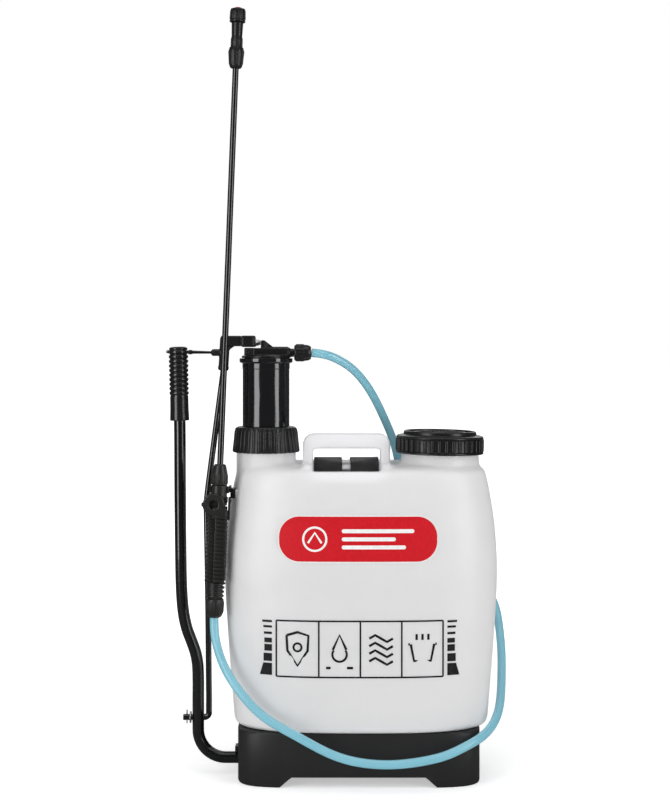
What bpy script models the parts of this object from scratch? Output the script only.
"""A 16 litre backpack sprayer with a side lever pump, as separate solids in metres, +Z up.

The printed front of the tank faces -Y, and the wearer's side, with the straps, faces +Y.
Places are measured from the middle of the tank's plan, at floor level. The datum empty
then sets the whole sprayer over the middle of its own footprint.
"""

import math

import bmesh
import bpy
from mathutils import Matrix, Vector

# ---------------------------------------------------------------- driving dimensions
DATUM = Vector((0.0362, 0.0025, 0.0))
GAP = 0.0003  # between pieces that touch

TANK_WALL = 0.0032
TANK_BOTTOM = 0.0653
TANK_TOP = 0.381
# height, half width, front depth, back depth of the tank's plan
TANK_STATIONS = (
    (0.0653, 0.1400, 0.082, 0.066),
    (0.0700, 0.1480, 0.091, 0.074),
    (0.0800, 0.1545, 0.097, 0.0785),
    (0.1030, 0.1585, 0.100, 0.081),
    (0.1650, 0.1635, 0.102, 0.082),
    (0.2450, 0.1680, 0.102, 0.082),
    (0.3020, 0.1655, 0.0995, 0.080),
    (0.3450, 0.1595, 0.094, 0.077),
    (0.3650, 0.1555, 0.090, 0.074),
    (0.3740, 0.1525, 0.087, 0.071),
    (0.3790, 0.1465, 0.081, 0.066),
    (0.3810, 0.1380, 0.073, 0.058),
)
TANK_ROUNDNESS = (3.0, 5.0)  # superellipse powers of the plan, front and back

HANDLE_Y = -0.020
HANDLE_DEPTH = 0.030
HANDLE_LEFT = -0.0716
HANDLE_RIGHT = 0.0360
HANDLE_HEIGHT = 0.4186
HANDLE_THICK = 0.0123
TROUGH_Z = 0.3660
BAR_Z = 0.3760
BAR_RADIUS = 0.0043

BASE_CENTRE_X = -0.003
BASE_HALF_WIDTH = 0.1475
BASE_FRONT = -0.0885
BASE_BACK = 0.0780
BASE_HEIGHT = TANK_BOTTOM - GAP
BASE_WALL = 0.0032
BASE_ROUNDNESS = (6.0, 6.0)
ARCH_HEIGHT = 0.0125
FOOT_HEIGHT = 0.005
WEBS_X = (-0.062, 0.002, 0.060)
WEB_THICK = 0.004
AXLE_ROOM = 0.022  # half of the web left round the lever's axle, under the arch

PUMP_X = -0.117
PUMP_Y = -0.025
NECK_RADIUS = 0.0365
NECK_BORE = 0.0328
NECK_TOP = 0.4075
NUT_BOTTOM = 0.3967
NUT_TOP = 0.4279
BARREL_RADIUS = 0.0322
BARREL_BORE = 0.0298
BARREL_FLOOR = 0.204
CHAMBER_RADIUS = 0.0288
CHAMBER_BORE = 0.0262
CHAMBER_BOTTOM = 0.285
CHAMBER_TOP = 0.5120
OUTLET_Z = 0.5186

LEVER_Z = 0.0200  # pivot of the lever, through the base
CRANK = 0.0494  # pivot to crank pin
ROD_LENGTH = 0.4617  # crank pin to arm bolt
LEVER_RADIUS = 0.0072
LEVER_BORE = 0.0057
LEVER_BEND = 0.034
LEVER_FOOT_X = -0.2006
LEVER_END_X = 0.072
ROD_RADIUS = 0.0037
ROD_X = -0.1874
PIN_Z = LEVER_Z + CRANK
BOLT_Z = PIN_Z + ROD_LENGTH
GRIP_LOW = Vector((-0.2234, PUMP_Y, 0.4283))
GRIP_HIGH = Vector((-0.2253, PUMP_Y, 0.5262))
PEG_Z = 0.5199

FILL_X = 0.0976
FILL_Y = -0.020
FILL_RADIUS = 0.0482
FILL_BORE = 0.0447
FILL_TOP = 0.4065

GUN_FOOT = Vector((-0.1778, -0.064, 0.1996))
GUN_LEAN = math.radians(2.24)
TRIGGER_PIVOT = (-0.0053, 0.1364)  # across and along the gun
LOCK_PLACE = (0.0125, 0.1420)

HOSE_RADIUS = 0.0053
# By hand: out of the pump, over the back of the tank, round its right side, along the front to the gun.
HOSE_ROUTE = (
    (-0.0609, -0.0250, 0.5186),
    (-0.0500, -0.0250, 0.5186),
    (-0.0370, -0.0210, 0.5150),
    (-0.0108, -0.0060, 0.4996),
    (0.0121, 0.0150, 0.4716),
    (0.0317, 0.0380, 0.4329),
    (0.0452, 0.0600, 0.3998),
    (0.0530, 0.0810, 0.3660),
    (0.0680, 0.0930, 0.3250),
    (0.0980, 0.0980, 0.2760),
    (0.1400, 0.0950, 0.2380),
    (0.1720, 0.0660, 0.2010),
    (0.1775, 0.0240, 0.1570),
    (0.1755, -0.0060, 0.1150),
    (0.1673, -0.0460, 0.0800),
    (0.1480, -0.0800, 0.0620),
    (0.1220, -0.1010, 0.0530),
    (0.0921, -0.1100, 0.0421),
    (0.0316, -0.1130, 0.0344),
    (-0.0261, -0.1130, 0.0425),
    (-0.0815, -0.1130, 0.0708),
    (-0.1162, -0.1080, 0.0893),
    (-0.1400, -0.1000, 0.1114),
    (-0.1610, -0.0860, 0.1371),
    (-0.1735, -0.0720, 0.1630),
    (-0.1784, -0.0650, 0.1870),
    (-0.1778, -0.0640, 0.1993),
)
HOSE_POINTS = 64

STRAP_X = (-0.0406, 0.0045)
STRAP_WIDTH = 0.0350
WEB_GAUGE = 0.0020
PAD_WIDTH = 0.054
PAD_GAUGE = 0.012
PAD_TOP = 0.345
PAD_BOTTOM = 0.125
PAD_Y = 0.0905
LOWER_WIDTH = 0.025
HOOK_X = (-0.108, 0.102)

# body: (parent body, pivot)
BODIES = {
    "root": (None, Vector((0, 0, 0))),
    "lever": ("root", Vector((LEVER_FOOT_X, PUMP_Y, LEVER_Z))),
    "pump_rod_arm": ("lever", Vector((LEVER_FOOT_X, PUMP_Y, PIN_Z))),
    "plunger": ("root", Vector((PUMP_X, PUMP_Y, CHAMBER_TOP))),
    "outlet_ball": ("plunger", Vector((PUMP_X, PUMP_Y, 0.2949))),
    "suction_ball": ("root", Vector((PUMP_X, PUMP_Y, 0.2089))),
    "lid_seal": ("root", Vector((FILL_X, FILL_Y, 0.4095))),
    "lid": ("lid_seal", Vector((FILL_X, FILL_Y, 0.4110))),
    "strainer": ("root", Vector((FILL_X, FILL_Y, 0.4068))),
}


# ---------------------------------------------------------------- materials and bodies
def material(name, colour, roughness, metallic=0.0):
    made = bpy.data.materials.new(name)
    made.use_nodes = True
    shader = made.node_tree.nodes["Principled BSDF"]
    shader.inputs["Base Color"].default_value = (*colour, 1)
    shader.inputs["Roughness"].default_value = roughness
    shader.inputs["Metallic"].default_value = metallic
    return made


for old in list(bpy.data.objects):
    bpy.data.objects.remove(old)

TANK_WHITE = material("tank_polyethylene", (0.86, 0.87, 0.88), 0.38)
BLACK_PLASTIC = material("black_polypropylene", (0.030, 0.030, 0.032), 0.42)
GLOSS_BLACK = material("gloss_black_plastic", (0.022, 0.022, 0.025), 0.16)
BLACK_STEEL = material("black_painted_steel", (0.020, 0.020, 0.022), 0.22, 0.3)
ZINC_STEEL = material("zinc_plated_steel", (0.62, 0.63, 0.64), 0.32, 1.0)
RUBBER = material("black_rubber", (0.018, 0.018, 0.018), 0.75)
WHITE_PLASTIC = material("natural_acetal", (0.82, 0.82, 0.80), 0.35)
RED_PLASTIC = material("red_nozzle_plastic", (0.42, 0.05, 0.05), 0.40)
HOSE_BLUE = material("pale_blue_pvc", (0.52, 0.78, 0.84), 0.20)
WEBBING = material("black_webbing", (0.022, 0.022, 0.023), 0.85)
PAD_CLOTH = material("pad_fabric", (0.030, 0.030, 0.032), 0.90)
EMPTIES = {}


def add_body(name, parent, pivot):
    empty = bpy.data.objects.new(name + "_pivot", None)
    bpy.context.scene.collection.objects.link(empty)
    if parent is None:
        empty.location = DATUM
    else:
        empty.parent = EMPTIES[parent]
        empty.location = pivot - BODIES[parent][1]
    EMPTIES[name] = empty


def gun_frame(across=0.0, along=0.0):
    """The gun's own axes: X across it, Y through it, Z along it, from the foot of its bottom nut."""
    foot = Matrix.Translation(GUN_FOOT) @ Matrix.Rotation(GUN_LEAN, 4, "Y")
    return foot @ Matrix.Translation((across, 0, along))


BODIES["trigger"] = ("root", gun_frame(*TRIGGER_PIVOT).translation)
BODIES["trigger_lock"] = ("root", gun_frame(*LOCK_PLACE).translation)
BODIES["valve"] = ("root", gun_frame(0, 0.1463).translation)
BODIES["nozzle"] = ("root", gun_frame(0, 0.7186).translation)
for body_name, (body_parent, body_pivot) in BODIES.items():
    add_body(body_name, body_parent, body_pivot)


def link(obj, surface, body):
    """Links a finished object under its body's empty, and gives it its material."""
    bpy.context.scene.collection.objects.link(obj)
    obj.parent = EMPTIES[body]
    if surface is not None:
        obj.data.materials.append(surface)
    return obj


def solid(name, shape, surface, body="root"):
    """Makes an object of a bmesh that is drawn in tank coordinates."""
    bmesh.ops.remove_doubles(shape, verts=shape.verts, dist=1e-6)
    bmesh.ops.recalc_face_normals(shape, faces=shape.faces)
    mesh = bpy.data.meshes.new(name)
    shape.to_mesh(mesh)
    shape.free()
    mesh.transform(Matrix.Translation(-BODIES[body][1]))
    mesh.shade_smooth()
    mesh.set_sharp_from_angle(angle=math.radians(35))
    return link(bpy.data.objects.new(name, mesh), surface, body)


def boolean(target, shape, operation, body="root"):
    """Adds a shape to a solid, or cuts it away, with an exact Boolean."""
    tool = solid(f"{target.name}_{operation.lower()}_{len(target.modifiers)}", shape, None, body)
    tool.hide_render = True
    tool.display_type = "WIRE"
    modifier = target.modifiers.new(operation.title(), "BOOLEAN")
    modifier.operation = operation
    modifier.solver = "EXACT"
    modifier.object = tool
    return tool


def cut(target, shape, body="root"):
    return boolean(target, shape, "DIFFERENCE", body)


def join(target, shape, body="root"):
    return boolean(target, shape, "UNION", body)


# ---------------------------------------------------------------- shapes
def along(origin, direction):
    """A frame whose Z runs along a direction, and whose Y stays as near world Y as it can."""
    turn = Vector(direction).to_track_quat("Z", "Y")
    return Matrix.Translation(Vector(origin)) @ turn.to_matrix().to_4x4()


def upright(x, y):
    return Matrix.Translation((x, y, 0))


def turned(profile, steps=24, frame=None):
    """Spins (radius, height) points round Z. A profile that starts on the axis is left open there."""
    shape = bmesh.new()
    points = [shape.verts.new((radius, 0, height)) for radius, height in profile]
    pairs = list(zip(points, points[1:]))
    if profile[0][0] > 0:
        pairs.append((points[-1], points[0]))
    edges = [shape.edges.new(pair) for pair in pairs]
    bmesh.ops.spin(shape, geom=points + edges, cent=(0, 0, 0), axis=(0, 0, 1), angle=math.tau, steps=steps)
    bmesh.ops.remove_doubles(shape, verts=shape.verts, dist=1e-6)
    if frame is not None:
        shape.transform(frame)
    return shape


def ring(inner, outer, low, high, steps=24, frame=None):
    return turned(((inner, low), (outer, low), (outer, high), (inner, high)), steps, frame)


def rod(radius, low, high, steps=16, frame=None):
    return turned(((0, low), (radius, low), (radius, high), (0, high)), steps, frame)


def ball(radius, centre):
    shape = bmesh.new()
    place = Matrix.Translation(centre)
    bmesh.ops.create_uvsphere(shape, u_segments=12, v_segments=8, radius=radius, matrix=place)
    return shape


def box(low, high, bevel=0.0, frame=None):
    shape = bmesh.new()
    low, high = Vector(low), Vector(high)
    size = high - low
    bmesh.ops.create_cube(shape, size=1)
    shape.transform(Matrix.Translation((low + high) / 2) @ Matrix.Diagonal((*size, 1)))
    if bevel:
        bmesh.ops.bevel(shape, geom=list(shape.edges), offset=bevel, segments=2, profile=0.5, affect="EDGES")
    if frame is not None:
        shape.transform(frame)
    return shape


def prism(outline, low, high, frame=None):
    """Extrudes an outline of (x, z) points along Y."""
    shape = bmesh.new()
    points = [shape.verts.new((x, low, z)) for x, z in outline]
    face = shape.faces.new(points)
    made = bmesh.ops.extrude_face_region(shape, geom=[face])["geom"]
    moved = [item for item in made if isinstance(item, bmesh.types.BMVert)]
    bmesh.ops.translate(shape, verts=moved, vec=(0, high - low, 0))
    if frame is not None:
        shape.transform(frame)
    return shape


def loft(rings):
    """Bridges rings of equal counts and closes both ends."""
    shape = bmesh.new()
    rows = [[shape.verts.new(point) for point in points] for points in rings]
    count = len(rows[0])
    for lower, upper in zip(rows, rows[1:]):
        for i in range(count):
            j = (i + 1) % count
            shape.faces.new((lower[i], lower[j], upper[j], upper[i]))
    shape.faces.new(rows[0])
    shape.faces.new(rows[-1])
    bmesh.ops.triangulate(shape, faces=shape.faces)
    return shape


def tangents(points):
    ends = [points[1] - points[0]]
    ends += [after - before for before, after in zip(points, points[2:])]
    ends.append(points[-1] - points[-2])
    return [end.normalized() for end in ends]


def circle(centre, normal, radius, sides):
    """A ring square to a tangent, started from the world's Y so that a flat route doesn't twist."""
    first = Vector((0, 1, 0)) - normal * normal.y
    first.normalize()
    second = normal.cross(first)
    turns = [math.tau * i / sides for i in range(sides)]
    return [centre + first * (radius * math.cos(turn)) + second * (radius * math.sin(turn)) for turn in turns]


def pipe(points, radius, bore=0.0, sides=10):
    """A round bar, or a tube open at both ends, along a route that lies near the XZ plane."""
    ways = tangents(points)
    outside = [circle(point, way, radius, sides) for point, way in zip(points, ways)]
    if not bore:
        return loft(outside)
    inside = [circle(point, way, bore, sides) for point, way in zip(points, ways)]
    shape = bmesh.new()
    rows = [[shape.verts.new(point) for point in points_] for points_ in outside + inside[::-1]]
    for row, after in zip(rows, rows[1:] + rows[:1]):
        for i in range(sides):
            j = (i + 1) % sides
            shape.faces.new((row[i], row[j], after[j], after[i]))
    return shape


def ribbon(points, width, gauge, across=(1, 0, 0)):
    """A flat strap of even thickness along a route, its width across the route."""
    side = Vector(across)
    rings = []
    for point, way in zip(points, tangents(points)):
        face = way.cross(side).normalized()
        half = side * (width / 2)
        thick = face * (gauge / 2)
        rings.append([point - half - thick, point + half - thick, point + half + thick, point - half + thick])
    return loft(rings)


def arc(centre, radius, start, end, count, y):
    """Points of an arc in the XZ plane, angles in degrees from +X towards +Z."""
    turns = [math.radians(start + (end - start) * i / (count - 1)) for i in range(count)]
    middle = Vector((centre[0], y, centre[1]))
    return [middle + Vector((math.cos(turn), 0, math.sin(turn))) * radius for turn in turns]


def smooth_route(route, count):
    """Reads evenly spaced points from a Catmull-Rom curve through a route."""
    points = [Vector(point) for point in route]
    points = [2 * points[0] - points[1]] + points + [2 * points[-1] - points[-2]]
    fine = []
    for before, start, end, after in zip(points, points[1:], points[2:], points[3:]):
        for step in range(16):
            t = step / 16
            fine.append(
                0.5 * (2 * start + (end - before) * t + (2 * before - 5 * start + 4 * end - after) * t**2
                       + (3 * start - before - 3 * end + after) * t**3)
            )
    fine.append(points[-2])
    lengths = [0.0]
    for start, end in zip(fine, fine[1:]):
        lengths.append(lengths[-1] + (end - start).length)
    even = []
    index = 0
    for step in range(count):
        target = lengths[-1] * step / (count - 1)
        while index < len(lengths) - 2 and lengths[index + 1] < target:
            index += 1
        share = (target - lengths[index]) / (lengths[index + 1] - lengths[index])
        even.append(fine[index].lerp(fine[index + 1], share))
    return even


# ---------------------------------------------------------------- tank
def plan_ring(height, half_width, front, back, inset, roundness, count=40):
    """One level of the tank or base: a superellipse with a power of its own at the front and the back."""
    half_width -= inset
    depth = (front + back) / 2 - inset
    middle = (back - front) / 2
    points = []
    for i in range(count):
        turn = math.tau * i / count
        c, s = math.cos(turn), math.sin(turn)
        power = 2 / roundness[0 if s < 0 else 1]
        x = math.copysign(abs(c) ** power, c) * half_width
        y = math.copysign(abs(s) ** power, s) * depth + middle
        points.append(Vector((x, y, height)))
    return points


def tank_skin(inset):
    """The tank's outside, or its hollow when inset by the wall."""
    share = (TANK_TOP - TANK_BOTTOM - 2 * inset) / (TANK_TOP - TANK_BOTTOM)
    rings = []
    for height, half_width, front, back in TANK_STATIONS:
        level = TANK_BOTTOM + inset + (height - TANK_BOTTOM) * share
        rings.append(plan_ring(level, half_width, front, back, inset, TANK_ROUNDNESS))
    return loft(rings)


def handle_outline():
    corner, foot, under = 0.012, 0.364, 0.4008
    left, right, top = HANDLE_LEFT, HANDLE_RIGHT, HANDLE_HEIGHT
    outline = [Vector((left, 0, foot))]
    outline += arc((left + corner, top - corner), corner, 180, 90, 4, 0)
    outline += arc((right - corner, top - corner), corner, 90, 0, 4, 0)
    outline += [Vector((right, 0, foot)), Vector((right - HANDLE_THICK, 0, foot))]
    outline += [Vector((right - HANDLE_THICK, 0, under)), Vector((left + HANDLE_THICK, 0, under))]
    outline.append(Vector((left + HANDLE_THICK, 0, foot)))
    return [(point.x, point.z) for point in outline]


def build_tank():
    tank = solid("tank", tank_skin(0.0), TANK_WHITE)
    gap_left = HANDLE_LEFT + HANDLE_THICK - 0.0007
    gap_right = HANDLE_RIGHT - HANDLE_THICK + 0.0007
    cut(tank, box((gap_left, -0.120, TROUGH_Z), (gap_right, 0.006, 0.400)))
    join(tank, prism(handle_outline(), HANDLE_Y - HANDLE_DEPTH / 2, HANDLE_Y + HANDLE_DEPTH / 2))
    bar = along((gap_left - 0.002, HANDLE_Y, BAR_Z), (1, 0, 0))
    join(tank, rod(BAR_RADIUS, 0, gap_right - gap_left + 0.004, 12, bar))
    join(tank, rod(NECK_RADIUS, 0.350, NECK_TOP, 24, upright(PUMP_X, PUMP_Y)))
    join(tank, rod(FILL_RADIUS, 0.350, FILL_TOP, 24, upright(FILL_X, FILL_Y)))
    join(tank, box((-0.1580, -0.054, 0.3435), (-0.148, -0.040, 0.3525)))
    hollow = solid("tank_hollow", tank_skin(TANK_WALL), None)
    hollow.hide_render = True
    hollow.display_type = "WIRE"
    wall = TANK_WALL
    cut(hollow, box((gap_left - wall, -0.130, TROUGH_Z - wall), (gap_right + wall, 0.006 + wall, 0.400)))
    modifier = tank.modifiers.new("Hollow", "BOOLEAN")
    modifier.operation = "DIFFERENCE"
    modifier.solver = "EXACT"
    modifier.object = hollow
    cut(tank, rod(NECK_BORE, 0.355, 0.450, 24, upright(PUMP_X, PUMP_Y)))
    cut(tank, rod(FILL_BORE, 0.355, 0.450, 24, upright(FILL_X, FILL_Y)))


# ---------------------------------------------------------------- base
def base_ring(height, inset):
    ring_points = plan_ring(height, BASE_HALF_WIDTH, -BASE_FRONT, BASE_BACK, inset, BASE_ROUNDNESS, 32)
    return [point + Vector((BASE_CENTRE_X, 0, 0)) for point in ring_points]


def base_shell():
    edge = 0.001
    levels = ((0, edge), (edge, 0), (BASE_HEIGHT - edge, 0), (BASE_HEIGHT, edge))
    return loft([base_ring(height, inset) for height, inset in levels])


def build_base():
    base = solid("base", base_shell(), BLACK_PLASTIC)
    cut(base, loft([base_ring(height, BASE_WALL) for height in (-0.010, BASE_HEIGHT - 0.0042)]))
    for x in WEBS_X:
        half = WEB_THICK / 2
        join(base, box((x - half, BASE_FRONT + 0.002, 0.0015), (x + half, BASE_BACK - 0.002, 0.0625)))
    for low, high in ((-0.1485, -0.1180), (0.1120, 0.1425)):
        join(base, box((low, -0.050, 0), (high, 0.040, FOOT_HEIGHT)))
    axle = along((-0.160, PUMP_Y, LEVER_Z), (1, 0, 0))
    cut(base, rod(0.0082, 0, 0.210, 16, axle))
    for start, length in ((-0.160, 0.020), (WEBS_X[-1] - 0.004, 0.008)):
        cut(base, rod(0.0098, 0, length, 16, along((start, PUMP_Y, LEVER_Z), (1, 0, 0))))
    arch = ((-0.1014, -0.002), (-0.0857, ARCH_HEIGHT), (0.0778, ARCH_HEIGHT), (0.0935, -0.002))
    cut(base, prism(arch, -0.100, PUMP_Y - AXLE_ROOM))
    cut(base, prism(arch, PUMP_Y + AXLE_ROOM, 0.100))
    retainer = box((-0.1548, PUMP_Y - 0.008, 0.0276), (-0.1508, PUMP_Y + 0.008, 0.0352), 0.0006)
    solid("lever_retainer", retainer, BLACK_PLASTIC)


# ---------------------------------------------------------------- filler
def build_filler():
    place = upright(FILL_X, FILL_Y)
    basket = (
        (0, 0.335), (0.0435, 0.335), (0.0440, 0.4068), (0.0478, 0.4068),
        (0.0478, 0.4086), (0.0425, 0.4086), (0.0420, 0.3366), (0, 0.3366),
    )
    solid("strainer_basket", turned(basket, 24, place), WHITE_PLASTIC, "strainer")
    solid("lid_gasket", ring(0.0400, 0.0478, 0.4089, 0.4104, 24, place), RUBBER, "lid_seal")
    lid = (
        (0.0036 + GAP, 0.4107), (0.0488, 0.4107), (0.0488, 0.3946), (0.0544, 0.3946), (0.0540, 0.4118),
        (0.0515, 0.4158), (0.0455, 0.4170), (0.0450, 0.4218), (0.0435, 0.4224), (0.0415, 0.4218),
        (0.0405, 0.4185), (0.0036 + GAP, 0.4185),
    )
    solid("filler_lid", turned(lid, 24, place), BLACK_PLASTIC, "lid")
    valve = ((0, 0.4070), (0.0036, 0.4070), (0.0036, 0.4188), (0.0090, 0.4188), (0.0085, 0.4208), (0, 0.4212))
    solid("breather_valve", turned(valve, 16, place), RUBBER, "lid")


# ---------------------------------------------------------------- pump
def build_pump_fixed():
    place = upright(PUMP_X, PUMP_Y)
    flange = NECK_TOP + 0.0021
    gasket = ring(NECK_BORE + 0.0008, NECK_RADIUS - 0.0005, NECK_TOP + GAP, flange - GAP, 24, place)
    solid("neck_gasket", gasket, RUBBER)
    nut = (
        (NECK_RADIUS + 0.0005, NUT_BOTTOM), (0.0410, NUT_BOTTOM), (0.0385, 0.4225), (0.0372, 0.4266),
        (0.0355, NUT_TOP), (CHAMBER_RADIUS + 0.0006, NUT_TOP), (CHAMBER_RADIUS + 0.0006, flange + 0.0034),
        (NECK_RADIUS + 0.0005, flange + 0.0034),
    )
    solid("pump_nut", turned(nut, 24, place), BLACK_PLASTIC)
    barrel = (
        (0.0060, 0.1850), (0.0100, 0.1850), (0.0100, 0.2000), (BARREL_RADIUS, 0.2000), (BARREL_RADIUS, flange),
        (0.0362, flange), (0.0362, flange + 0.0030), (BARREL_BORE, flange + 0.0030),
        (BARREL_BORE, BARREL_FLOOR), (0.0060, BARREL_FLOOR),
    )
    solid("pump_barrel", turned(barrel, 24, place), WHITE_PLASTIC)
    solid("suction_ball", ball(0.0075, (PUMP_X, PUMP_Y, 0.2089)), WHITE_PLASTIC, "suction_ball")
    solid("suction_pipe", ring(0.0103, 0.0124, 0.0905, 0.1995, 16, place), WHITE_PLASTIC)
    cup = ((0, 0.0740), (0.0150, 0.0740), (0.0150, 0.0990), (0.0128, 0.0990), (0.0128, 0.0765), (0, 0.0765))
    strainer = solid("inlet_strainer", turned(cup, 16, place), WHITE_PLASTIC)
    for long_x in (True, False):
        reach = Vector((0.020, 0.004, 0)) if long_x else Vector((0.004, 0.020, 0))
        centre = Vector((PUMP_X, PUMP_Y, 0))
        cut(strainer, box(centre - reach + Vector((0, 0, 0.0785)), centre + reach + Vector((0, 0, 0.0880))))


def build_plunger():
    place = upright(PUMP_X, PUMP_Y)
    chamber = (
        (CHAMBER_BORE, CHAMBER_BOTTOM), (CHAMBER_RADIUS, CHAMBER_BOTTOM), (CHAMBER_RADIUS, 0.5064),
        (0.0315, 0.5064), (0.0326, 0.5075), (0.0326, CHAMBER_TOP), (CHAMBER_BORE, CHAMBER_TOP),
    )
    solid("air_chamber", turned(chamber, 24, place), GLOSS_BLACK, "plunger")
    skirt = CHAMBER_BOTTOM - GAP
    piston = (
        (0.0040, 0.2720), (0.0270, 0.2720), (0.0270, 0.2755), (0.0235, 0.2755), (0.0235, 0.2820),
        (0.0285, 0.2820), (0.0285, skirt), (CHAMBER_BORE - GAP, skirt), (CHAMBER_BORE - GAP, 0.3000),
        (0.0100, 0.3000), (0.0100, 0.2900), (0.0040, 0.2900),
    )
    solid("piston", turned(piston, 24, place), WHITE_PLASTIC, "plunger")
    cup = ((0.0238, 0.2758), (0.0290, 0.2758), (0.0295, 0.2785), (0.0290, 0.2817), (0.0238, 0.2817))
    solid("piston_cup", turned(cup, 24, place), RUBBER, "plunger")
    solid("outlet_ball", ball(0.0060, (PUMP_X, PUMP_Y, 0.2949)), WHITE_PLASTIC, "outlet_ball")
    solid("discharge_tube", ring(0.0028, 0.0040, 0.3080, 0.5095, 12, place), WHITE_PLASTIC, "plunger")
    build_pump_head(place)


def build_pump_head(place):
    """The cover of the air chamber, with the post under the arm, the ear and the hose outlet."""
    plug = ((0, 0.5020), (CHAMBER_BORE - GAP, 0.5020), (CHAMBER_BORE - GAP, CHAMBER_TOP + GAP),
            (0.0300, CHAMBER_TOP + GAP), (0.0295, 0.5145), (0, 0.5145))
    head = solid("pump_head", turned(plug, 24, place), BLACK_PLASTIC, "plunger")
    top = 0.5245
    join(head, box((-0.1331, PUMP_Y - 0.0085, 0.5130), (-0.0890, PUMP_Y + 0.0085, top)), "plunger")
    join(head, box((-0.1436, PUMP_Y - 0.0075, 0.5130), (-0.1325, PUMP_Y + 0.0075, top + 0.0002)), "plunger")
    ear = ((-0.1235, 0.5200), (-0.1235, 0.5335), (-0.1195, 0.5343), (-0.1066, 0.5243), (-0.1066, 0.5200))
    join(head, prism(ear, PUMP_Y - 0.0035, PUMP_Y + 0.0035), "plunger")
    outlet = ((0, 0), (0.0066, 0), (0.0066, 0.0224), (0.0052, 0.0226), (0.0052, 0.0274), (0, 0.0274))
    axis = (1, 0, 0)
    join(head, turned(outlet, 16, along((-0.1100, PUMP_Y, OUTLET_Z), axis)), "plunger")
    cut(head, rod(0.0030, 0, 0.0400, 12, along((PUMP_X, PUMP_Y, OUTLET_Z), axis)), "plunger")
    cut(head, rod(0.0043, 0.4950, OUTLET_Z, 12, place), "plunger")
    tail = (
        (0.0022, 0.0006), (0.0052, 0.0006), (0.0052, 0.0030), (0.0036, 0.0030), (0.0040, 0.0090),
        (0.0032, 0.0092), (0.0036, 0.0150), (0.0028, 0.0180), (0.0022, 0.0180),
    )
    joint = along((-0.0826, PUMP_Y, OUTLET_Z), axis)
    solid("hose_tail_pump", turned(tail, 12, joint), WHITE_PLASTIC, "plunger")
    nut = (
        (0.0056, 0.0003), (0.0102, 0.0003), (0.0102, 0.0130),
        (0.0092, 0.0196), (0.0080, 0.0210), (0.0056, 0.0210),
    )
    solid("hose_nut_pump", turned(nut, 16, joint), BLACK_PLASTIC, "plunger")


def build_arm():
    """The arm that joins the pump rod to the top of the pump, with the sleeve and the peg hook."""
    body = "pump_rod_arm"
    block = box((-0.1473, PUMP_Y - 0.0080, 0.5254), (-0.1301, PUMP_Y + 0.0080, 0.5398), 0.0020)
    arm = solid("pump_arm", block, BLACK_PLASTIC, body)
    join(arm, box((-0.1680, PUMP_Y - 0.0062, 0.5264), (-0.1465, PUMP_Y + 0.0062, 0.5396)), body)
    sleeve_low = Vector((-0.1698, PUMP_Y, 0.4967))
    sleeve_way = Vector((-0.1674, PUMP_Y, 0.5380)) - sleeve_low
    sleeve = along(sleeve_low, sleeve_way)
    socket = ((0, 0), (0.0052, 0), (0.0064, 0.0020), (0.0064, 0.0395), (0.0050, 0.0428), (0, 0.0428))
    join(arm, turned(socket, 16, sleeve), body)
    hook = ((0, 0), (0.0022, 0), (0.0043, 0.0022), (0.0043, 0.0150), (0, 0.0150))
    hook_frame = along((-0.1850, PUMP_Y, PEG_Z - 0.0010), (1, 0, 0))
    join(arm, turned(hook, 12, hook_frame), body)
    cut(arm, rod(ROD_RADIUS + 0.0004, -0.001, 0.0335, 12, sleeve), body)
    cut(arm, rod(0.0020, -0.001, 0.0100, 12, hook_frame), body)
    slot_low = (-0.1860, PUMP_Y, PEG_Z - 0.0030)
    cut(arm, box(slot_low, (-0.1750, PUMP_Y + 0.010, PEG_Z + 0.0010)), body)
    bolt_axis = along((-0.1500, PUMP_Y, BOLT_Z), (1, 0, 0))
    cut(arm, rod(0.0033, 0, 0.0300, 12, bolt_axis), body)
    bolt = (
        (0, 0.0005), (0.0030, 0.0005), (0.0030, 0.0202), (0.0038, 0.0202), (0.0038, 0.0235),
        (0.0026, 0.0235), (0.0026, 0.0262), (0, 0.0262),
    )
    solid("arm_bolt", turned(bolt, 12, bolt_axis), ZINC_STEEL, body)


def build_rod():
    body = "pump_rod_arm"
    bend = 0.0054
    upper = (
        (-0.1680, 0.5280), (-0.1698, 0.4967), (-0.1745, 0.4600),
        (-0.1899, 0.3420), (-0.1905, 0.3250), (ROD_X, 0.0950),
    )
    route = [Vector((x, PUMP_Y, z)) for x, z in upper]
    route += arc((ROD_X - bend, PIN_Z + bend), bend, 0, -90, 6, PUMP_Y)
    route.append(Vector((-0.2190, PUMP_Y, PIN_Z)))
    pump_rod = solid("pump_rod", pipe(route, ROD_RADIUS, sides=12), BLACK_STEEL, body)
    cotter_x = -0.2145
    pin = along((cotter_x, PUMP_Y, PIN_Z - 0.0075), (0, 0, 1))
    cut(pump_rod, rod(0.0010, -0.002, 0.020, 8, pin), body)
    solid("rod_cotter_pin", rod(0.0007, 0, 0.0125, 8, pin), ZINC_STEEL, body)
    washer = along((-0.2108, PUMP_Y, PIN_Z), (1, 0, 0))
    solid("rod_washer", ring(ROD_RADIUS + GAP, 0.0072, 0, 0.0016, 20, washer), ZINC_STEEL, body)


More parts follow.
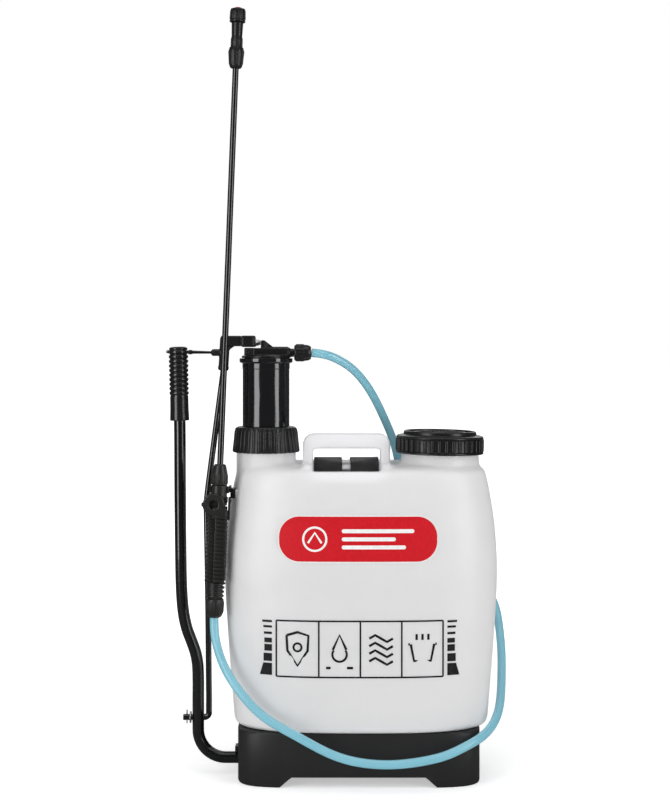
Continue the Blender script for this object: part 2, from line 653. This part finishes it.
# ---------------------------------------------------------------- lever
def build_lever():
    """The bent lever tube, its ribbed grip and the peg that stows it in the arm's hook."""
    body = "lever"
    upper = (
        (-0.2250, 0.5130), (-0.2234, 0.4283), (-0.2230, 0.3600), (-0.2224, 0.2900), (-0.2215, 0.2350),
        (-0.2193, 0.2020), (-0.2150, 0.1800), (-0.2092, 0.1640), (-0.2040, 0.1490), (-0.2013, 0.1340),
        (LEVER_FOOT_X, 0.1150),
    )
    route = [Vector((x, PUMP_Y, z)) for x, z in upper]
    route += arc((LEVER_FOOT_X + LEVER_BEND, LEVER_Z + LEVER_BEND), LEVER_BEND, 180, 270, 9, PUMP_Y)
    route.append(Vector((LEVER_END_X, PUMP_Y, LEVER_Z)))
    lever = solid("lever_tube", pipe(route, LEVER_RADIUS, LEVER_BORE), BLACK_STEEL, body)
    cut(lever, rod(ROD_RADIUS + GAP, 0, 0.030, 12, along((-0.2150, PUMP_Y, PIN_Z), (1, 0, 0))), body)
    cotter = along((LEVER_END_X - 0.0040, PUMP_Y, LEVER_Z - 0.0110), (0, 0, 1))
    cut(lever, rod(0.0013, -0.002, 0.026, 8, cotter), body)
    solid("lever_cotter_pin", rod(0.0010, 0, 0.0220, 8, cotter), ZINC_STEEL, body)
    bore = LEVER_RADIUS + GAP
    bushes = (("lever_bush_left", -0.1503, 0.0045), ("lever_bush_right", WEBS_X[-1] - 0.0022, 0.0046))
    for name, x, length in bushes:
        flange = length + 0.0024
        bush = ((bore, 0), (0.0095, 0), (0.0095, length), (0.0125, length), (0.0125, flange), (bore, flange))
        solid(name, turned(bush, 16, along((x, PUMP_Y, LEVER_Z), (1, 0, 0))), WHITE_PLASTIC)
    build_grip(body)


def build_grip(body):
    frame = along(GRIP_LOW, GRIP_HIGH - GRIP_LOW)
    length = (GRIP_HIGH - GRIP_LOW).length
    low, pitch, ribs = 0.0068, 0.0056, 10
    profile = [(LEVER_RADIUS + GAP, low), (0.0115, low), (0.0105, 0.0160)]
    for i in range(ribs, 0, -1):
        middle = length - 0.0030 - pitch * (i - 0.5)
        profile.append((0.0105, middle - pitch * 0.35))
        profile += [(0.0116, middle - pitch * 0.10), (0.0116, middle + pitch * 0.25)]
    profile += [(0.0100, length), (0, length)]
    bore = [(0, length - 0.0115), (LEVER_RADIUS + GAP, length - 0.0115)]
    grip = solid("lever_grip", turned(bore + profile, 12, frame), BLACK_PLASTIC, body)
    cut(grip, rod(0.0027, 0, 0.040, 10, along((-0.2450, PUMP_Y, PEG_Z), (1, 0, 0))), body)
    peg = ((0, 0), (0.0013, 0.0010), (0.0020, 0.0040), (0.0020, 0.0275), (0.0026, 0.0279), (0.0015, 0.0550),
           (0.0015, 0.0630), (0, 0.0630))
    solid("stow_peg", turned(peg, 10, along((-0.2404, PUMP_Y, PEG_Z), (1, 0, -0.016))), BLACK_STEEL, body)


# ---------------------------------------------------------------- gun
def through(across, along_gun):
    """A frame on the gun whose Z runs through it, towards +Y."""
    return gun_frame(across, along_gun) @ Matrix.Rotation(math.radians(-90), 4, "X")


def build_gun_body():
    grip = box((-0.0120, -0.0085, 0.0300), (-0.0010, 0.0085, 0.1330), 0.0020, gun_frame())
    body = solid("gun_body", grip, BLACK_PLASTIC)
    flared = [(0, 0.0233), (0.0098, 0.0233)]
    for i in range(4):
        low = 0.0245 + i * 0.0046
        flared += [(0.0108, low + 0.0011), (0.0096, low + 0.0034)]
    flared += [(0.0090, 0.0450), (0, 0.0450)]
    join(body, turned(flared, 14, gun_frame()))
    join(body, box((-0.0118, -0.0088, 0.1210), (0.0060, 0.0088, 0.1480), 0.0020, gun_frame()))
    collar = ((0, 0.1440), (0.0097, 0.1440), (0.0097, 0.1590), (0.0092, 0.1597), (0, 0.1597))
    join(body, turned(collar, 16, gun_frame()))
    join(body, box((0.0040, -0.0034, 0.1385), (0.0108, 0.0034, 0.1455), 0.0, gun_frame()))
    cut(body, rod(0.0062, 0.1440, 0.1700, 16, gun_frame()))
    cut(body, rod(0.0070, 0.0100, 0.0400, 16, gun_frame()))
    cut(body, rod(0.0040, 0.0350, 0.1200, 12, gun_frame(-0.0058)))
    cut(body, rod(0.0043, -0.0200, 0.0200, 16, through(*TRIGGER_PIVOT)))


def build_trigger():
    body = "trigger"
    channel = box((-0.0010, -0.0112, 0.0475), (0.0110, 0.0112, 0.1300), 0.0012, gun_frame())
    trigger = solid("trigger_lever", channel, BLACK_PLASTIC, body)
    for side in (-1, 1):
        hub = ring(0.0048, 0.0133, 0.0100, 0.0125, 24)
        hub.transform(through(*TRIGGER_PIVOT) @ Matrix.Diagonal((1, 1, side, 1)))
        join(trigger, hub, body)
    cut(trigger, box((-0.0200, -0.0092, 0.0300), (0.0086, 0.0092, 0.1600), 0.0, gun_frame()), body)
    for i in range(6):
        low = 0.0520 + i * 0.0112
        cut(trigger, box((0.0103, -0.0080, low), (0.0130, 0.0080, low + 0.0044), 0.0, gun_frame()), body)
    solid("trigger_pin", ring(0.0022, 0.0040, -0.0118, 0.0118, 16, through(*TRIGGER_PIVOT)), BLACK_STEEL)
    catch = ((-0.0010, 0.0035), (0.0015, 0.0030), (0.0028, -0.0010), (0.0016, -0.0060), (0.0016, -0.0235),
             (-0.0008, -0.0245), (-0.0010, -0.0060))
    solid("trigger_lock", prism(catch, -0.0050, 0.0050, gun_frame(*LOCK_PLACE)), BLACK_PLASTIC, "trigger_lock")


def coil(radius, wire, low, high, turns, steps=8):
    """A helix along the gun, worked out turn by turn."""
    count = turns * steps
    points = []
    for i in range(count + 1):
        turn = math.tau * i / steps
        rise = low + (high - low) * i / count
        points.append(Vector((radius * math.cos(turn), radius * math.sin(turn), rise)))
    rings = []
    for point, way in zip(points, tangents(points)):
        out = Vector((point.x, point.y, 0)).normalized()
        up = way.cross(out)
        turns_ = [math.tau * i / 4 for i in range(4)]
        rings.append([point + out * (wire * math.cos(turn)) + up * (wire * math.sin(turn)) for turn in turns_])
    shape = loft(rings)
    shape.transform(gun_frame())
    return shape


def build_gun_inside():
    frame = gun_frame()
    solid("gun_filter", ring(0.0026, 0.0036, 0.0460, 0.1120, 12, gun_frame(-0.0058)), WHITE_PLASTIC)
    solid("valve_seal", ring(0.0024, 0.0058, 0.1443, 0.1458, 16, frame), RUBBER)
    spindle = (
        (0, 0.1445), (0.0018, 0.1445), (0.0018, 0.1463), (0.0050, 0.1463),
        (0.0050, 0.1483), (0.0018, 0.1483), (0.0018, 0.1570), (0, 0.1570),
    )
    solid("valve_spindle", turned(spindle, 12, frame), WHITE_PLASTIC, "valve")
    solid("valve_spring", coil(0.0038, 0.0004, 0.1508, 0.1584, 4), ZINC_STEEL)
    tail = (
        (0.0022, 0.0030), (0.0028, 0.0030), (0.0036, 0.0060), (0.0032, 0.0062), (0.0040, 0.0120),
        (0.0036, 0.0124), (0.0036, 0.0200), (0.0052, 0.0200), (0.0052, 0.0228), (0.0022, 0.0228),
    )
    solid("hose_tail_gun", turned(tail, 12, frame), WHITE_PLASTIC)


def build_lance():
    frame = gun_frame()
    low_nut = (
        (0.0057, 0.0), (0.0082, 0.0), (0.0106, 0.0040), (0.0112, 0.0200), (0.0108, 0.0230), (0.0057, 0.0230),
    )
    solid("hose_nut_gun", turned(low_nut, 16, frame), BLACK_PLASTIC)
    nut = (
        (0.0066, 0.1602), (0.0097, 0.1602), (0.0097, 0.1740), (0.0072, 0.1835),
        (0.0062, 0.1847), (0.0042, 0.1847), (0.0042, 0.1680), (0.0066, 0.1680),
    )
    solid("lance_nut", turned(nut, 16, frame), BLACK_PLASTIC)
    tube = (
        (0.0026, 0.1640), (0.0060, 0.1640), (0.0060, 0.1676),
        (0.0038, 0.1676), (0.0038, 0.6780), (0.0026, 0.6780),
    )
    solid("lance_tube", turned(tube, 16, frame), BLACK_STEEL)
    nozzle_nut = (
        (0.0042, 0.6631), (0.0062, 0.6631), (0.0094, 0.6720),
        (0.0096, 0.6850), (0.0088, 0.6880), (0.0042, 0.6880),
    )
    solid("nozzle_nut", turned(nozzle_nut, 16, frame), BLACK_PLASTIC)
    tip = (
        (0.0044, 0.6883), (0.0086, 0.6883), (0.0080, 0.7180), (0.0062, 0.7182),
        (0.0060, 0.7270), (0.0016, 0.7270), (0.0016, 0.7130), (0.0044, 0.7130),
    )
    solid("nozzle_body", turned(tip, 14, frame), BLACK_PLASTIC)
    solid("swirl_core", ring(0.0012, 0.0040, 0.7000, 0.7120, 12, frame), RED_PLASTIC)
    cap = (
        (0.0066, 0.7186), (0.0095, 0.7186), (0.0093, 0.7250), (0.0086, 0.7350), (0.0078, 0.7365),
        (0.0050, 0.7365), (0.0044, 0.7345), (0.0014, 0.7340), (0.0014, 0.7290), (0.0066, 0.7290),
    )
    solid("nozzle_cap", turned(cap, 16, frame), BLACK_PLASTIC, "nozzle")


def build_lance_clip():
    """The open clip on the tank's side that holds the gun by its collar."""
    low, high = 0.1502, 0.1578
    clip = solid("lance_clip", ring(0.0101, 0.0122, low, high, 24, gun_frame()), BLACK_PLASTIC)
    cut(clip, box((-0.0200, -0.0200, low - 0.01), (0.0200, -0.0040, high + 0.01), 0.0, gun_frame()))
    centre = gun_frame(0, (low + high) / 2).translation
    join(clip, box((centre.x + 0.0110, -0.0620, centre.z - 0.0036), (-0.1583, -0.0420, centre.z + 0.0036)))


def build_hose():
    curve = bpy.data.curves.new("hose", "CURVE")
    curve.dimensions = "3D"
    curve.bevel_depth = HOSE_RADIUS
    curve.bevel_resolution = 2
    curve.use_fill_caps = True
    spline = curve.splines.new("POLY")
    points = smooth_route(HOSE_ROUTE, HOSE_POINTS)
    spline.points.add(len(points) - 1)
    for target, point in zip(spline.points, points):
        target.co = (*point, 1)
    link(bpy.data.objects.new("hose", curve), HOSE_BLUE, "root")


# ---------------------------------------------------------------- harness
def strap_loop(x):
    """The webbing round the bar in the carry handle, then over the back of the tank to the pad."""
    turn = BAR_RADIUS + 0.0004 + WEB_GAUGE / 2
    route = [Vector((x, HANDLE_Y + 0.0115, BAR_Z + 0.0068)), Vector((x, HANDLE_Y + 0.0105, BAR_Z + 0.0010))]
    for i in range(7):
        angle = math.radians(-20 - 160 * i / 6)
        route.append(Vector((x, HANDLE_Y + turn * math.cos(angle), BAR_Z + turn * math.sin(angle))))
    onwards = (
        (HANDLE_Y - 0.0056, BAR_Z + 0.0072), (HANDLE_Y - 0.0030, BAR_Z + 0.0106),
        (HANDLE_Y + 0.0030, BAR_Z + 0.0118), (0.0100, 0.3860), (0.0540, 0.3855), (0.0710, 0.3835), (0.0815, 0.3765), (0.0865, 0.3640),
        (PAD_Y - 0.0020, 0.3540), (PAD_Y, PAD_TOP + GAP),
    )
    route += [Vector((x, y, z)) for y, z in onwards]
    return ribbon(route, STRAP_WIDTH, WEB_GAUGE)


def pad_shape(start_x, end_x):
    """A flat pad that thins to its edges, from its top at start_x to its foot at end_x."""
    stations = (
        (0, 0.70, 0.55), (0.03, 0.92, 0.85), (0.10, 1, 1), (0.90, 1, 1), (0.97, 0.92, 0.85), (1, 0.70, 0.55),
    )
    edge = ((1, 0), (0.9, 0.75), (0.5, 1), (-0.5, 1), (-0.9, 0.75))
    outline = edge + tuple((-u, -v) for u, v in edge)
    rings = []
    for share, wide, thick in stations:
        x = start_x + (end_x - start_x) * share
        z = PAD_TOP + (PAD_BOTTOM - PAD_TOP) * share
        half, deep = PAD_WIDTH / 2 * wide, PAD_GAUGE / 2 * thick
        rings.append([Vector((x + half * u, PAD_Y + deep * v, z)) for u, v in outline])
    return loft(rings)


def build_harness():
    for side, x, lean, hook_x in (("left", STRAP_X[0], -1, HOOK_X[0]), ("right", STRAP_X[1], 1, HOOK_X[1])):
        pad_x = x + lean * 0.010
        low_x = x + lean * 0.030
        solid(f"strap_upper_{side}", strap_loop(x), WEBBING)
        solid(f"shoulder_pad_{side}", pad_shape(pad_x, low_x), PAD_CLOTH)
        frame_low = (low_x - 0.018, PAD_Y - 0.0030, 0.0950)
        frame_high = (low_x + 0.018, PAD_Y + 0.0030, PAD_BOTTOM - GAP)
        buckle = solid(f"strap_buckle_{side}", box(frame_low, frame_high, 0.0010), BLACK_PLASTIC)
        cut(buckle, box((low_x - 0.0135, 0, 0.1060), (low_x + 0.0135, 0.2, 0.1100)))
        end = Vector((hook_x, PAD_Y, 0.0560))
        start = Vector((low_x, PAD_Y, 0.0947))
        middle = start.lerp(end, 0.5) + Vector((0, 0.004, 0))
        route = [start, start.lerp(end, 0.2), middle, start.lerp(end, 0.8), end]
        solid(f"strap_lower_{side}", ribbon(route, LOWER_WIDTH, WEB_GAUGE), WEBBING)
        hook_low = (hook_x - 0.017, BASE_BACK + GAP, 0.0250)
        hook_high = (hook_x + 0.017, PAD_Y + 0.0030, 0.0557)
        hook = solid(f"strap_hook_{side}", box(hook_low, hook_high, 0.0015), BLACK_PLASTIC)
        cut(hook, box((hook_x - 0.0135, PAD_Y - 0.0030, 0.0400), (hook_x + 0.0135, 0.2, 0.0480)))


build_tank()
build_base()
build_filler()
build_pump_fixed()
build_plunger()
build_arm()
build_rod()
build_lever()
build_gun_body()
build_trigger()
build_gun_inside()
build_lance()
build_lance_clip()
build_hose()
build_harness()
